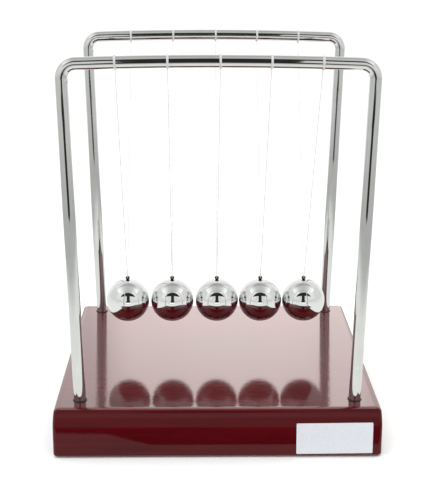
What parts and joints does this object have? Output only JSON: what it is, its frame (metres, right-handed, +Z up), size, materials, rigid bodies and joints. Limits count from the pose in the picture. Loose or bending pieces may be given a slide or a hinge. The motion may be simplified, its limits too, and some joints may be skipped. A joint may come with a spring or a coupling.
{
  "type": "newtons cradle",
  "caption": "Desk toy: chromed steel balls in a row, each hung on a V line between two U-shaped rod frames that stand on a square lacquered board.",
  "frame": {"origin": "middle of the board's footprint, on the surface that the pads stand on", "axes": "+Z up; the labelled front faces -Y; the row of balls runs along X, ball_1 at -X"},
  "size_m": [0.1524, 0.1526, 0.1846],
  "materials": {
    "lacquered_wood": "dark red high-gloss lacquer",
    "chrome_rod": "mirror chrome plate",
    "chrome_ball": "mirror chrome plate on steel",
    "dark_pin": "blackened steel",
    "nylon_line": "clear monofilament",
    "black_bush": "satin moulded plastic",
    "felt": "dense felt",
    "label_paper": "smooth coated paper",
    "zinc_steel": "zinc plated"
  },
  "bodies": {
    "stand": {"base_board": "lacquered_wood", "front_frame": "chrome_rod", "rear_frame": "chrome_rod", "frame_screws": "zinc_steel", "screw_washers": "zinc_steel", "front_label": "label_paper", "leg_bush_front_left": "black_bush", "leg_bush_front_right": "black_bush", "leg_bush_rear_left": "black_bush", "leg_bush_rear_right": "black_bush", "base_pad_front_left": "felt", "base_pad_front_right": "felt", "base_pad_rear_left": "felt", "base_pad_rear_right": "felt", "line_loop_front_1": "nylon_line", "line_loop_front_2": "nylon_line", "line_loop_front_3": "nylon_line", "line_loop_front_4": "nylon_line", "line_loop_front_5": "nylon_line", "line_loop_rear_1": "nylon_line", "line_loop_rear_2": "nylon_line", "line_loop_rear_3": "nylon_line", "line_loop_rear_4": "nylon_line", "line_loop_rear_5": "nylon_line"},
    "swing_1": {"ball_1": "chrome_ball", "ball_eye_1": "dark_pin", "suspension_line_1": "nylon_line"},
    "swing_2": {"ball_2": "chrome_ball", "ball_eye_2": "dark_pin", "suspension_line_2": "nylon_line"},
    "swing_3": {"ball_3": "chrome_ball", "ball_eye_3": "dark_pin", "suspension_line_3": "nylon_line"},
    "swing_4": {"ball_4": "chrome_ball", "ball_eye_4": "dark_pin", "suspension_line_4": "nylon_line"},
    "swing_5": {"ball_5": "chrome_ball", "ball_eye_5": "dark_pin", "suspension_line_5": "nylon_line"}
  },
  "joints": [
    {"name": "ball_1_swing", "type": "hinge", "parent": "stand", "child": "swing_1", "pos_m": [-0.04505, 0, 0.17738], "axis": [0, 1, 0], "range_deg": [0, 60]},
    {"name": "ball_2_swing", "type": "hinge", "parent": "stand", "child": "swing_2", "pos_m": [-0.02225, 0, 0.17781], "axis": [0, 1, 0], "range_deg": [-0.15, 0.25]},
    {"name": "ball_3_swing", "type": "hinge", "parent": "stand", "child": "swing_3", "pos_m": [0.00065, 0, 0.17795], "axis": [0, 1, 0], "range_deg": [-0.05, 0.15]},
    {"name": "ball_4_swing", "type": "hinge", "parent": "stand", "child": "swing_4", "pos_m": [0.02295, 0, 0.1778], "axis": [0, 1, 0], "range_deg": [-0.05, 0.05]},
    {"name": "ball_5_swing", "type": "hinge", "parent": "stand", "child": "swing_5", "pos_m": [0.04525, 0, 0.17737], "axis": [0, 1, 0], "range_deg": [-60, 0]}
  ]
}
